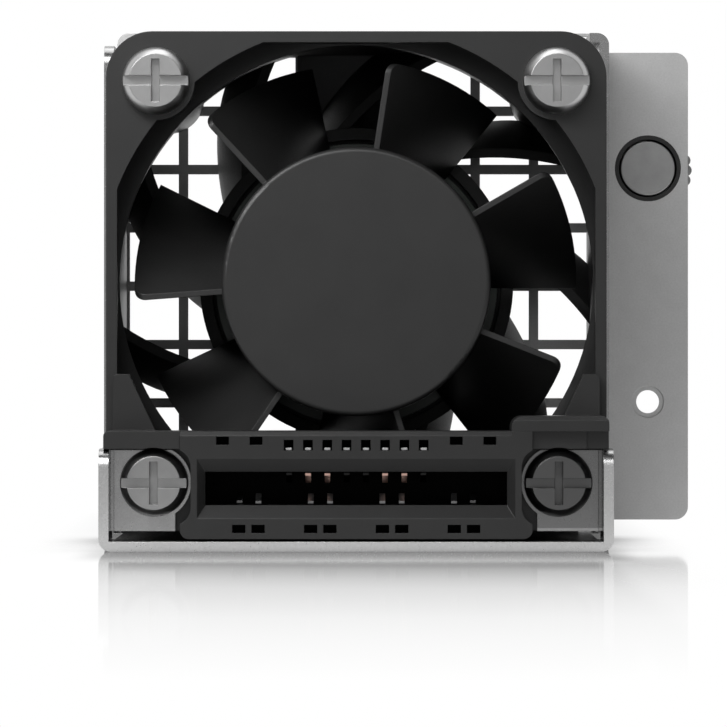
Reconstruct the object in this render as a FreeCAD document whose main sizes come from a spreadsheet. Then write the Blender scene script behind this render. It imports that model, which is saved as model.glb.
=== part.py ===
import FreeCAD, Part
import math
import os
import re
import Sketcher
from FreeCAD import Placement, Rotation, Vector

# A 1U server fan module: an axial fan between a sheet-metal tray and a perforated face panel.
# X runs across, Y from the connector end (low) to the face panel (high), Z up.
# Origin: on the underside of the tray, below the fan's axis, in the plane of the fan's intake face.
# Lengths in millimetres, angles in degrees.

SIZES = {
    # tray
    "tray_sheet": 0.8,
    "tray_bend": 1.0,
    "tray_reach": 6.8,
    "front_wall_inset": 0.5,
    "front_wall_height": 8.1,
    "rear_wall_gap": 0.1,
    "rear_wall_length": 11.8,
    "rear_wall_drop": 0.2,
    "wall_corner": 1.5,
    "lip_reach": 1.6,
    "tab_radius": 2.95,
    "tab_inset": 1.67,
    "tab_base_gap": 0.76,
    "tab_top_gap": 0.1,
    "tab_groove": 0.3,
    "tab_groove_depth": 0.5,
    # face panel
    "panel_sheet": 0.8,
    "flange_reach": 8.1,
    "flange_base": 1.6,
    "flange_drop": 0.2,
    "flange_corner": 1.1,
    "panel_left_reach": 0.3,
    "panel_rise": 0.63,
    "panel_corner": 0.9,
    "corner_window": 1.6,
    "corner_window_sill": 0.4,
    "corner_window_strip": 0.25,
    "mesh_margin": 0.2,
    "mesh_offset": 0.15,
    "mesh_bar": 0.8,
    "mesh_half_count": 4,
    "relief_width": 1.2,
    "knob_from_edge": 3.4,
    "knob_height": 31.4,
    "guide_height": 11.6,
    "guide_bore": 1.96,
    "guide_recess": 2.7,
    "guide_recess_depth": 0.2,
    # fan housing
    "hole_edge": 4.0,
    "fan_depth": 28.0,
    "fan_lift": 0.6,
    "fan_corner": 3.7,
    "hole_pitch": 32.0,
    "screw_clearance": 0.25,
    "fan_flange": 3.6,
    "duct_wall": 0.8,
    "lug_radius": 3.1,
    "rim_reach": 0.5,
    "throat_inset": 0.95,
    "throat_depth": 3.0,
    "exit_reach": 0.2,
    "inlet_wall": 0.9,
    "outlet_wall": 0.5,
    # stator vanes and motor cup
    "cup_radius": 13.0,
    "rotor_gap": 1.1,
    "cup_rear_gap": 0.6,
    "cup_wall": 1.0,
    "cup_floor": 1.2,
    "cup_boss_radius": 5.6,
    "cup_boss_height": 4.0,
    "vane_count": 9,
    "vane_angle": 3.5,
    "vane_offset": 10.8,
    "vane_curve": 24.0,
    "vane_sheet": 0.8,
    "vane_twist": 12.3,
    "vane_root_sink": 0.5,
    "vane_clip": 3.5,
    "lead_web_left": 5.0,
    "lead_web_right": 3.0,
    "lead_web_sheet": 0.8,
    # impeller
    "hub_radius": 10.78,
    "hub_setback": 0.4,
    "hub_depth": 15.9,
    "hub_wall": 0.9,
    "hub_face": 1.0,
    "hub_edge": 0.4,
    "blade_count": 7,
    "blade_angle": 81.4,
    "blade_wrap": 30.5,
    "blade_sheet": 0.45,
    "blade_inset": 1.1,
    "blade_tail": 0.5,
    "blade_tip_gap": 1.25,
    "blade_flare": 0.35,
    "blade_corner": 0.9,
    "blade_root_sink": 0.4,
    # motor
    "yoke_sheet": 0.7,
    "yoke_margin": 1.3,
    "magnet_thickness": 1.25,
    "magnet_setback": 1.8,
    "magnet_margin": 0.8,
    "air_gap": 0.4,
    "core_setback": 1.4,
    "core_stack": 6.4,
    "core_yoke_radius": 5.0,
    "core_shoe": 0.8,
    "core_arm": 1.8,
    "core_slot": 1.0,
    "insulator": 0.7,
    "coil_build": 1.0,
    "coil_slack": 0.1,
    "tube_setback": 3.0,
    "tube_wall": 0.65,
    "tube_land": 2.8,
    "shaft_diameter": 3.0,
    "shaft_tail": 1.6,
    "bush_radius": 2.4,
    "bush_length": 2.2,
    "bush_nose_radius": 2.0,
    "bearing_diameter": 7.0,
    "bearing_width": 3.0,
    "bearing_recess": 0.4,
    "rear_bearing_back": 7.0,
    "race_inner": 2.05,
    "race_outer": 2.95,
    "ball_radius": 0.42,
    "ball_count": 6,
    "shield": 0.2,
    "spring_seat": 2.2,
    "preload_wire": 0.35,
    "preload_turns": 3,
    "clip_radius": 2.0,
    "clip_sheet": 0.5,
    "board_setback": 0.6,
    "board_sheet": 0.8,
    "board_edge_gap": 0.3,
    "sensor_height": 1.1,
    "chip_side": 3.6,
    "chip_height": 1.2,
    # connector carrier and housing
    "carrier_depth": 3.2,
    "carrier_base": 1.6,
    "bar_reach": 6.2,
    "bar_height": 1.4,
    "bar_corner": 0.4,
    "carrier_side_gap": 0.3,
    "ear_rise": 4.5,
    "ear_sheet": 1.6,
    "ear_top": 1.3,
    "ear_root": 3.4,
    "block_reach": 7.7,
    "block_rise": 1.2,
    "block_corner": 0.9,
    "block_edge": 0.6,
    "recess_near": 0.8,
    "recess_far": 1.2,
    "recess_far_width": 1.75,
    "front_bevel": 0.35,
    "housing_side": 2.1,
    "housing_reach": 6.5,
    "housing_base": 1.0,
    "housing_corner": 0.7,
    "housing_plug_side": 1.6,
    "housing_plug_inset": 1.0,
    "housing_fit": 0.1,
    "notch_side": 2.95,
    "notch_base": 2.1,
    "notch_corner": 1.4,
    "mouth_side": 2.0,
    "mouth_centre": 4.98,
    "mouth_height": 2.62,
    "mouth_depth": 5.6,
    "bevel_side": 0.65,
    "bevel_rise": 1.05,
    "bevel_depth": 0.8,
    "contact_pitch": 1.52,
    "contact_count": 8,
    "contact_width": 0.45,
    "contact_sheet": 0.2,
    "contact_setback": 0.4,
    "contact_bow": 0.7,
    "contact_knee": 0.95,
    "contact_recess": 1.8,
    "window_depth": 2.2,
    "window_width": 0.75,
    "window_height": 0.64,
    "upper_window_height": 0.84,
    "upper_window": 8.4,
    "power_window_width": 1.0,
    "power_window": 8.75,
    "power_centre": 9.21,
    "power_spacing": 2.64,
    "lower_window": 1.8,
    "lower_pair_pitch": 5.66,
    "lower_window_width": 1.04,
    # screws and nuts
    "screw_diameter": 3.0,
    "head_diameter": 5.4,
    "head_height": 2.0,
    "head_rim": 1.2,
    "slot_width": 0.77,
    "slot_depth": 0.9,
    "cross_width": 0.64,
    "cross_length": 3.4,
    "nut_radius": 2.8,
    "nut_height": 1.5,
    "nut_pilot": 2.1,
    "nut_pilot_fit": 0.05,
    "thread_fit": 0.05,
    "screw_end": 0.2,
    # captive thumbscrew
    "knob_radius": 4.03,
    "knob_length": 8.4,
    "knob_start": 4.8,
    "knob_cap": 2.2,
    "knob_skirt": 0.33,
    "knob_chamfer": 0.5,
    "lobe_count": 26,
    "lobe_radius": 0.5,
    "shank_diameter": 4.7,
    "shank_fit": 0.1,
    "ferrule_pilot": 5.6,
    "ferrule_radius": 3.3,
    "ferrule_flange": 1.0,
    "ferrule_length": 2.2,
    "ferrule_sleeve": 2.8,
    "washer_sheet": 0.3,
    "washer_fit": 0.05,
    "return_wire": 0.4,
    "return_turns": 5,
}

# Places that follow from the sizes above.
PLACES = {
    "fan_width": "hole_pitch + 2 * hole_edge",
    "half_fan": "fan_width / 2",
    "fan_base": "tray_sheet + fan_lift",
    "axis_height": "fan_base + half_fan",
    "fan_top": "fan_base + fan_width",
    "half_hole": "hole_pitch / 2",
    "low_hole": "axis_height - half_hole",
    "high_hole": "axis_height + half_hole",
    "screw_radius": "screw_diameter / 2",
    "screw_hole": "screw_radius + screw_clearance",
    "front_inner": "half_fan - front_wall_inset",
    "front_outer": "front_inner + tray_sheet",
    "rear_inner": "half_fan + rear_wall_gap",
    "rear_outer": "rear_inner + tray_sheet",
    "rear_front": "fan_depth - rear_wall_length",
    "left_top": "fan_top - rear_wall_drop",
    "lip_top": "fan_top + tray_sheet",
    "tab_front": "carrier_depth + tray_sheet",
    "bar_base": "front_wall_height",
    "bar_top": "bar_base + bar_height",
    "tab_top": "bar_base - tab_top_gap",
    "panel_rear": "fan_depth + panel_sheet",
    "flange_edge": "half_fan + flange_reach",
    "flange_top": "fan_top - flange_drop",
    "panel_left": "half_fan + panel_left_reach",
    "panel_top": "lip_top + panel_rise",
    "mesh_pitch": "(fan_width / 2 - mesh_margin) / mesh_half_count",
    "tab_base": "tray_sheet + tab_base_gap",
    "duct_outer_radius": "exit_radius + duct_wall",
    "rim_radius": "half_fan + rim_reach",
    "throat_radius": "half_fan - throat_inset",
    "exit_radius": "half_fan + exit_reach",
    "knob_across": "flange_edge - knob_from_edge",
    "cup_front": "hub_rear + rotor_gap",
    "cup_rear": "fan_depth - cup_rear_gap",
    "cup_inner": "cup_radius - cup_wall",
    "cup_floor_front": "cup_rear - cup_floor",
    "vane_front": "cup_front + vane_sheet",
    "vane_rear": "cup_rear - vane_sheet / 2",
    "hub_inner": "hub_radius - hub_wall",
    "hub_rear": "hub_setback + hub_depth",
    "blade_front": "hub_setback + blade_inset",
    "blade_depth": "hub_rear - blade_tail - blade_front",
    "blade_tip": "throat_radius - blade_tip_gap",
    "yoke_front": "hub_setback + hub_face",
    "yoke_inner": "hub_inner - yoke_sheet",
    "magnet_inner": "yoke_inner - magnet_thickness",
    "core_radius": "magnet_inner - air_gap",
    "magnet_front": "yoke_front + magnet_setback",
    "magnet_rear": "yoke_rear - magnet_margin",
    "tube_start": "yoke_front + tube_setback",
    "core_start": "tube_start + core_setback",
    "core_end": "core_start + core_stack",
    "tube_bore": "bearing_diameter / 2",
    "tube_radius": "tube_bore + tube_wall",
    "window_outer": "core_radius - core_shoe",
    "shaft_radius": "shaft_diameter / 2",
    "yoke_rear": "hub_rear - yoke_margin",
    "front_bearing": "tube_start + bearing_recess",
    "rear_bearing": "cup_floor_front - rear_bearing_back",
    "shaft_end": "rear_bearing + bearing_width + shaft_tail",
    "spring_front": "rear_bearing - spring_seat",
    "clip_front": "rear_bearing + bearing_width",
    "board_front": "cup_front + board_setback",
    "board_rear": "board_front + board_sheet",
    "board_radius": "cup_inner - board_edge_gap",
    "block_top": "bar_top + block_rise",
    "housing_half": "half_hole - housing_side",
    "housing_plug_half": "housing_half - housing_plug_side",
    "notch_half": "half_hole - notch_side",
    "mouth_half": "housing_half - mouth_side",
    "mouth_top": "mouth_centre + mouth_height / 2",
    "mouth_bottom": "mouth_centre - mouth_height / 2",
    "mouth_rear": "housing_reach - mouth_depth",
    "contact_front": "housing_reach - bevel_depth - contact_setback",
    "shank_radius": "shank_diameter / 2",
    "ferrule_bore": "shank_radius + shank_fit",
    "ferrule_seat": "ferrule_pilot / 2",
    "knob_front": "fan_depth + knob_start",
    "knob_rear": "knob_front + knob_length",
    "cap_front": "knob_rear - knob_cap",
    "lobe_centre": "knob_radius - lobe_radius",
    "knob_core": "knob_radius - lobe_radius / 2",
    "knob_bore": "knob_core - knob_skirt",
    "washer_front": "cap_front - washer_sheet",
    "ferrule_rear": "panel_rear + ferrule_flange + ferrule_length",
    "return_front": "panel_rear + ferrule_flange",
}

doc = FreeCAD.newDocument("server_fan_module")
sheet = doc.addObject("Spreadsheet::Sheet", "Sizes")
for row, (name, number) in enumerate(SIZES.items(), start=1):
    sheet.set(f"A{row}", name)
    sheet.set(f"B{row}", str(number))
    sheet.setAlias(f"B{row}", name)
doc.recompute()

WORD = re.compile(r"[a-z][a-z_]*")
SUBPARTS = {}


def spelled(formula, number):
    """The formula with each named place written out, and each named size passed through number()."""

    def swap(match):
        word = match.group(0)
        if word in PLACES:
            return "(" + spelled(PLACES[word], number) + ")"
        if word in SIZES:
            return number(word)
        return word

    return WORD.sub(swap, str(formula))


def linked(formula):
    """The formula as an expression on the sheet's cells."""
    return spelled(formula, lambda word: "Sizes." + word)


def worth(formula):
    """The formula's value now, which is only used to start a sketch near its solution."""
    return float(sheet.evalExpression(spelled(formula, str)))


def bind(thing, **formulas):
    for prop, formula in formulas.items():
        thing.setExpression(prop, linked(formula))


def move(thing, x="0", y="0", z="0"):
    for letter, formula in (("x", x), ("y", y), ("z", z)):
        if str(formula) != "0":
            thing.setExpression(f".Placement.Base.{letter}", linked(formula))
    return thing


def subpart(node, thing):
    thing.Label = node
    SUBPARTS[node] = thing
    return thing


# Sketches.

LINE = None


def draw(sketch, corners):
    """A closed outline through corners (across, up, bend); bend is LINE, or (radius, 1 left or -1 right)."""
    places = [Vector(worth(across), worth(up), 0) for across, up, _ in corners]
    first = sketch.GeometryCount
    for number, (_, _, bend) in enumerate(corners):
        start = places[number]
        end = places[(number + 1) % len(places)]
        if bend is LINE:
            sketch.addGeometry(Part.LineSegment(start, end), False)
            continue
        radius = worth(bend[0])
        chord = end - start
        rise = math.sqrt(max(radius**2 - (chord.Length / 2) ** 2, 0))
        left = Vector(-chord.y, chord.x, 0).normalize()
        centre = (start + end) * 0.5 + left * (rise * bend[1])
        lower, upper = (start, end) if bend[1] > 0 else (end, start)
        circle = Part.Circle(centre, Vector(0, 0, 1), radius)
        arc = Part.ArcOfCircle(circle, circle.parameter(lower), circle.parameter(upper))
        sketch.addGeometry(arc, False)
    for number, (across, up, bend) in enumerate(corners):
        geometry = first + number
        follower = first + (number + 1) % len(corners)
        begins = 2 if bend is not LINE and bend[1] < 0 else 1
        ends = 3 - begins
        following = corners[(number + 1) % len(corners)][2]
        joins = 2 if following is not LINE and following[1] < 0 else 1
        sketch.addConstraint(Sketcher.Constraint("Coincident", geometry, ends, follower, joins))
        fix(sketch, geometry, begins, across, up)
        if bend is not LINE:
            index = sketch.addConstraint(Sketcher.Constraint("Radius", geometry, worth(bend[0])))
            sketch.setExpression(f"Constraints[{index}]", linked(bend[0]))
    return sketch


def fix(sketch, geometry, point, across, up):
    for kind, formula in (("DistanceX", across), ("DistanceY", up)):
        rule = Sketcher.Constraint(kind, -1, 1, geometry, point, worth(formula))
        index = sketch.addConstraint(rule)
        sketch.setExpression(f"Constraints[{index}]", linked(formula))


def ring(sketch, across, up, radius):
    circle = Part.Circle(Vector(worth(across), worth(up), 0), Vector(0, 0, 1), worth(radius))
    geometry = sketch.addGeometry(circle, False)
    fix(sketch, geometry, 3, across, up)
    index = sketch.addConstraint(Sketcher.Constraint("Radius", geometry, worth(radius)))
    sketch.setExpression(f"Constraints[{index}]", linked(radius))
    return sketch


def rectangle(left, right, low, high):
    return [(left, low, LINE), (right, low, LINE), (right, high, LINE), (left, high, LINE)]


TURNS = {
    "XY_Plane": Rotation(),
    "XZ_Plane": Rotation(Vector(1, 0, 0), 90),
    "YZ_Plane": Rotation(Vector(1, 1, 1), 120),
}


def free_sketch(name, plane, x="0", y="0", z="0"):
    sketch = doc.addObject("Sketcher::SketchObject", name)
    sketch.Placement = Placement(Vector(), TURNS[plane])
    return move(sketch, x, y, z)


def origin_of(body, role):
    return next(item for item in body.Origin.OriginFeatures if item.Role == role)


def body_sketch(body, name, plane, lift="0"):
    sketch = body.newObject("Sketcher::SketchObject", name)
    sketch.AttachmentSupport = [(origin_of(body, plane), "")]
    sketch.MapMode = "FlatFace"
    if lift != "0":
        sketch.setExpression(".AttachmentOffset.Base.z", linked(lift))
    return sketch


# Solids by primitives and booleans.


def block(name, x, y, z):
    """A box between two formulas along each axis."""
    box = doc.addObject("Part::Box", name)
    bind(box, Length=f"{x[1]} - ({x[0]})", Width=f"{y[1]} - ({y[0]})", Height=f"{z[1]} - ({z[0]})")
    return move(box, x[0], y[0], z[0])


def round_bar(name, radius, y, x="0", z="axis_height"):
    """A cylinder along Y."""
    bar = doc.addObject("Part::Cylinder", name)
    bar.Placement = Placement(Vector(), Rotation(Vector(1, 0, 0), -90))
    bind(bar, Radius=radius, Height=f"{y[1]} - ({y[0]})")
    return move(bar, x, y[0], z)


def cut(name, base, tool):
    result = doc.addObject("Part::Cut", name)
    result.Base = base
    result.Tool = tool
    return result


def common(name, base, tool):
    result = doc.addObject("Part::Common", name)
    result.Base = base
    result.Tool = tool
    return result


def fuse(name, shapes):
    result = doc.addObject("Part::MultiFuse", name)
    result.Shapes = shapes
    return result


def group(name, shapes):
    result = doc.addObject("Part::Compound", name)
    result.Links = shapes
    return result


def pipe(name, outer, inner, y, x="0", z="axis_height"):
    return cut(name, round_bar(name + "_outer", outer, y, x, z), round_bar(name + "_bore", inner, y, x, z))


def prism(name, corners, y):
    """An outline in X and Z, extruded along Y."""
    sketch = draw(free_sketch(name + "_outline", "XZ_Plane", y=y[0]), corners)
    solid = doc.addObject("Part::Extrusion", name)
    solid.Base = sketch
    solid.Dir = Vector(0, 1, 0)
    solid.Solid = True
    bind(solid, LengthFwd=f"{y[1]} - ({y[0]})")
    return solid


def mirrored(name, source):
    """A copy on the other side of the YZ plane."""
    copy = doc.addObject("Part::Mirroring", name)
    copy.Source = source
    copy.Normal = Vector(1, 0, 0)
    return copy


def turned(name, corners, x="0", z="axis_height"):
    """An outline (radius, distance along Y), revolved about an axis along Y."""
    sketch = draw(free_sketch(name + "_profile", "XY_Plane", x=x, z=z), corners)
    solid = doc.addObject("Part::Revolution", name)
    solid.Source = sketch
    solid.Axis = Vector(0, 1, 0)
    solid.Angle = 360
    solid.Solid = True
    solid.setExpression(".Base.x", linked(x))
    solid.setExpression(".Base.z", linked(z))
    return solid


# Features of a PartDesign body.


def pad(body, name, sketch, length, reverse=True):
    feature = body.newObject("PartDesign::Pad", name)
    feature.Profile = sketch
    feature.Reversed = reverse
    bind(feature, Length=length)
    return feature


def pocket(body, name, sketch, length="0", reverse=False):
    feature = body.newObject("PartDesign::Pocket", name)
    feature.Profile = sketch
    feature.Reversed = reverse
    if length == "0":
        feature.Type = "ThroughAll"
        feature.Midplane = True
    else:
        bind(feature, Length=length)
    return feature


def revolve(body, name, sketch, role):
    feature = body.newObject("PartDesign::Revolution", name)
    feature.Profile = sketch
    feature.ReferenceAxis = (origin_of(body, role), [""])
    feature.Angle = 360
    return feature


def groove(body, name, sketch, role):
    """What a revolve removes."""
    feature = body.newObject("PartDesign::Groove", name)
    feature.Profile = sketch
    feature.ReferenceAxis = (origin_of(body, role), [""])
    feature.Angle = 360
    return feature


def polar(body, name, feature, count, role):
    pattern = body.newObject("PartDesign::PolarPattern", name)
    pattern.Originals = [feature]
    pattern.Axis = (origin_of(body, role), [""])
    pattern.Angle = 360
    bind(pattern, Occurrences=count)
    body.Tip = pattern
    return pattern


def new_body(node, x="0", y="0", z="0"):
    body = doc.addObject("PartDesign::Body", node)
    return move(body, x, y, z)


# The tray: a base plate with low walls in front, tall walls at the rear and two screw tabs.


def channel(outer, left_top, right_top):
    """A U section with rounded outer bends, from the left wall's top round to the right wall's."""
    inner = f"({outer} - tray_sheet)"
    return [
        (f"-{outer}", left_top, LINE),
        (f"-{outer}", "tray_bend", ("tray_bend", 1)),
        (f"-({outer} - tray_bend)", "0", LINE),
        (f"{outer} - tray_bend", "0", ("tray_bend", 1)),
        (outer, "tray_bend", LINE),
        (outer, right_top, LINE),
        (inner, right_top, LINE),
        (inner, "tray_sheet", LINE),
        (f"-{inner}", "tray_sheet", LINE),
        (f"-{inner}", left_top, LINE),
    ]


def lipped_channel():
    """The rear section, whose right wall folds in over the fan."""
    section = channel("rear_outer", "left_top", "lip_top - tray_bend")
    folded = [
        ("rear_outer", "lip_top - tray_bend", ("tray_bend", 1)),
        ("rear_outer - tray_bend", "lip_top", LINE),
        ("rear_outer - lip_reach", "lip_top", LINE),
        ("rear_outer - lip_reach", "fan_top", LINE),
        ("rear_inner", "fan_top", LINE),
    ]
    return section[:5] + folded + section[7:]


def corner_cut(front, top):
    """What a rounded corner of a wall removes, seen from the side."""
    return [
        (front, f"{top} - wall_corner", ("wall_corner", -1)),
        (f"{front} + wall_corner", top, LINE),
        (f"{front} + wall_corner", f"{top} + wall_corner", LINE),
        (f"{front} - wall_corner", f"{top} + wall_corner", LINE),
        (f"{front} - wall_corner", f"{top} - wall_corner", LINE),
    ]


def make_tray():
    body = new_body("tray_body")
    front = draw(body_sketch(body, "front_section", "XZ_Plane", "tray_reach"),
                 channel("front_outer", "front_wall_height", "front_wall_height"))
    pad(body, "front_walls", front, "tray_reach - rear_wall_gap")
    plate = draw(body_sketch(body, "base_outline", "XZ_Plane", "tray_reach"),
                 rectangle("-(front_outer - tray_bend)", "front_outer - tray_bend", "0", "tray_sheet"))
    pad(body, "base_plate", plate, "tray_reach + fan_depth")
    rear = draw(body_sketch(body, "rear_section", "XZ_Plane", "-rear_front"), lipped_channel())
    pad(body, "rear_walls", rear, "rear_wall_length")
    wall = "(front_inner + tray_sheet / 2)"
    inner = "(half_hole - tab_inset)"
    below = "(low_hole - sqrt(tab_radius ^ 2 - tab_inset ^ 2))"
    over = "(tab_top - low_hole)"
    above = f"(half_hole - sqrt(tab_radius ^ 2 - {over} * {over}))"
    for side, sign in (("left", -1), ("right", 1)):
        corners = [
            (f"{sign} * {wall}", "tab_base", LINE),
            (f"{sign} * {inner}", "tab_base", LINE),
            (f"{sign} * {inner}", below, ("tab_radius", -sign)),
            (f"{sign} * {above}", "tab_top", LINE),
            (f"{sign} * {wall}", "tab_top", LINE),
        ]
        sketch = draw(body_sketch(body, f"{side}_tab_outline", "XZ_Plane", "tab_front"), corners)
        pad(body, f"{side}_tab", sketch, "tray_sheet")
        fold = rectangle(f"{sign} * front_inner", f"{sign} * (front_inner - tab_groove)",
                         "tab_base", "tab_top")
        sketch = draw(body_sketch(body, f"{side}_fold_line", "XZ_Plane", "tab_front"), fold)
        pocket(body, f"{side}_fold", sketch, "tab_groove_depth", reverse=False)
    holes = body_sketch(body, "tab_holes", "XZ_Plane", "tab_front")
    ring(holes, "-half_hole", "low_hole", "screw_hole")
    ring(holes, "half_hole", "low_hole", "screw_hole")
    pocket(body, "tab_bores", holes, "tray_sheet", reverse=False)
    corner = draw(body_sketch(body, "front_corner", "YZ_Plane"),
                  corner_cut("-tray_reach", "front_wall_height"))
    pocket(body, "front_corners", corner)
    corner = draw(body_sketch(body, "rear_corner", "YZ_Plane"), corner_cut("rear_front", "left_top"))
    pocket(body, "rear_corners", corner, "rear_outer + tray_sheet", reverse=False)
    return subpart("base_tray", body)


# The face panel: the finger guard behind the fan, and the flange for the thumbscrew.


def make_panel():
    body = new_body("panel_body")
    outline = [
        ("-panel_left", "0", LINE),
        ("rear_outer", "0", LINE),
        ("rear_outer", "flange_base", LINE),
        ("flange_edge - flange_corner", "flange_base", ("flange_corner", 1)),
        ("flange_edge", "flange_base + flange_corner", LINE),
        ("flange_edge", "flange_top - flange_corner", ("flange_corner", 1)),
        ("flange_edge - flange_corner", "flange_top", LINE),
        ("rear_outer", "flange_top", LINE),
        ("rear_outer", "panel_top - panel_corner", ("panel_corner", 1)),
        ("rear_outer - panel_corner", "panel_top", LINE),
        ("panel_corner - panel_left", "panel_top", ("panel_corner", 1)),
        ("-panel_left", "panel_top - panel_corner", LINE),
    ]
    plate = draw(body_sketch(body, "panel_outline", "XZ_Plane", "-fan_depth"), outline)
    pad(body, "panel_plate", plate, "panel_sheet")
    holes = body_sketch(body, "panel_holes", "XZ_Plane", "-fan_depth")
    for side in ("-half_hole", "half_hole"):
        ring(holes, side, "low_hole", "nut_pilot + nut_pilot_fit")
        ring(holes, side, "high_hole", "nut_pilot + nut_pilot_fit")
    ring(holes, "knob_across", "knob_height", "ferrule_seat")
    ring(holes, "knob_across", "guide_height", "guide_bore / 2")
    pocket(body, "panel_bores", holes, "panel_sheet", reverse=False)
    recess = ring(body_sketch(body, "guide_recess_ring", "XZ_Plane", "-fan_depth"),
                  "knob_across", "guide_height", "guide_recess / 2")
    pocket(body, "guide_recess_cut", recess, "guide_recess_depth", reverse=False)
    for side in ("-1", "1"):
        notch = draw(body_sketch(body, "relief", "XZ_Plane", "-fan_depth"),
                     rectangle(f"{side} * half_fan - relief_width", f"{side} * half_fan",
                               "tray_sheet", "fan_base"))
        pocket(body, "relief_cut", notch, "panel_sheet", reverse=False)
    window_right = "(rear_outer - corner_window_sill)"
    relief = draw(body_sketch(body, "corner_relief", "XZ_Plane", "-fan_depth"),
                  rectangle(f"{window_right} - corner_window", window_right,
                            "panel_top - corner_window_strip - corner_window",
                            "panel_top - corner_window_strip"))
    pocket(body, "corner_relief_cut", relief, "panel_sheet", reverse=False)
    inner_columns = "2 * mesh_half_count - 2"
    cell = "mesh_pitch * (mesh_half_count - 1)"
    mesh_cut(body, "inner_mesh", f"-({cell})", "-mesh_pitch * mesh_half_count",
             inner_columns, "2 * mesh_half_count")
    mesh_cut(body, "outer_mesh", "-mesh_pitch * mesh_half_count", f"-({cell})", "2", inner_columns,
             "mesh_pitch * (2 * mesh_half_count - 1)")
    return subpart("face_panel", body)


def mesh_cut(body, name, left, low, columns, rows, span=None):
    """A grid of square openings; left and low are the first cell's corner from the fan's axis."""
    corners = rectangle(f"mesh_offset + {left} + mesh_bar / 2",
                        f"mesh_offset + {left} + mesh_pitch - mesh_bar / 2",
                        f"axis_height + {low} + mesh_bar / 2",
                        f"axis_height + {low} + mesh_pitch - mesh_bar / 2")
    sketch = draw(body_sketch(body, name + "_cell", "XZ_Plane", "-fan_depth"), corners)
    opening = pocket(body, name + "_opening", sketch, "panel_sheet", reverse=False)
    grid = body.newObject("PartDesign::MultiTransform", name)
    grid.Originals = [opening]
    across = body.newObject("PartDesign::LinearPattern", name + "_columns")
    across.Direction = (origin_of(body, "X_Axis"), [""])
    bind(across, Length=span or f"mesh_pitch * ({columns} - 1)", Occurrences=columns)
    up = body.newObject("PartDesign::LinearPattern", name + "_rows")
    up.Direction = (origin_of(body, "Z_Axis"), [""])
    bind(up, Length=f"mesh_pitch * ({rows} - 1)", Occurrences=rows)
    grid.Transformations = [across, up]
    body.Tip = grid
    return grid


# The fan housing with its bell mouth, and the ring of swept vanes and motor cup that ends on its duct wall.


def rounded_square(half, corner):
    low = f"(axis_height - {half})"
    high = f"(axis_height + {half})"
    return [
        (f"{corner} - {half}", low, LINE),
        (f"{half} - {corner}", low, (corner, 1)),
        (half, f"{low} + {corner}", LINE),
        (half, f"{high} - {corner}", (corner, 1)),
        (f"{half} - {corner}", high, LINE),
        (f"{corner} - {half}", high, (corner, 1)),
        (f"-{half}", f"{high} - {corner}", LINE),
        (f"-{half}", f"{low} + {corner}", (corner, 1)),
    ]


def at_holes(name, radius, y, rows=("low_hole", "high_hole")):
    """A bar along Y at each screw hole of the given rows."""
    bars = []
    for row in rows:
        for side in ("-half_hole", "half_hole"):
            bars.append(round_bar(name, radius, y, side, row))
    return bars


def flow_path():
    """The air's way through the housing: bell mouth, throat and widening duct, flat at the thin walls."""
    shape = turned("duct_round", [
        ("0", "-1", LINE),
        ("rim_radius", "-1", LINE),
        ("rim_radius", "0", ("throat_depth * 1.6", 1)),
        ("throat_radius", "throat_depth", LINE),
        ("exit_radius", "fan_depth", LINE),
        ("exit_radius", "fan_depth + 1", LINE),
        ("0", "fan_depth + 1", LINE),
    ])
    flats = doc.addObject("Part::Wedge", "duct_flats")
    half_in = "(half_fan - inlet_wall)"
    half_out = "(half_fan - outlet_wall)"
    bind(flats, Xmin=f"-{half_in}", Xmax=half_in, Zmin=f"-{half_in}", Zmax=half_in,
         X2min=f"-{half_out}", X2max=half_out, Z2min=f"-{half_out}", Z2max=half_out,
         Ymin="-1", Ymax="fan_depth + 1")
    move(flats, z="axis_height")
    round_and_flat = common("duct", shape, flats)
    lugs = fuse("duct_lugs", at_holes("duct_lug", "lug_radius", ("-1", "fan_depth + 1")))
    return cut("flow_path", round_and_flat, lugs)


def vane_section(body, name, distance, turn):
    """A swept vane's section at a distance along the axis, turned about it."""
    sketch = body_sketch(body, name, "XZ_Plane", f"-({distance})")
    sketch.setExpression(".AttachmentOffset.Rotation.Angle", linked(f"(vane_angle + {turn}) * 1 deg"))
    root = "sqrt((cup_radius - vane_root_sink) ^ 2 - vane_offset ^ 2)"
    tip = "sqrt((half_fan + vane_sheet) ^ 2 - vane_offset ^ 2)"
    low = "vane_offset - vane_sheet / 2"
    high = "vane_offset + vane_sheet / 2"
    return draw(sketch, [
        (root, low, ("vane_curve", -1)),
        (tip, low, LINE),
        (tip, high, ("vane_curve", 1)),
        (root, high, LINE),
    ])


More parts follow.
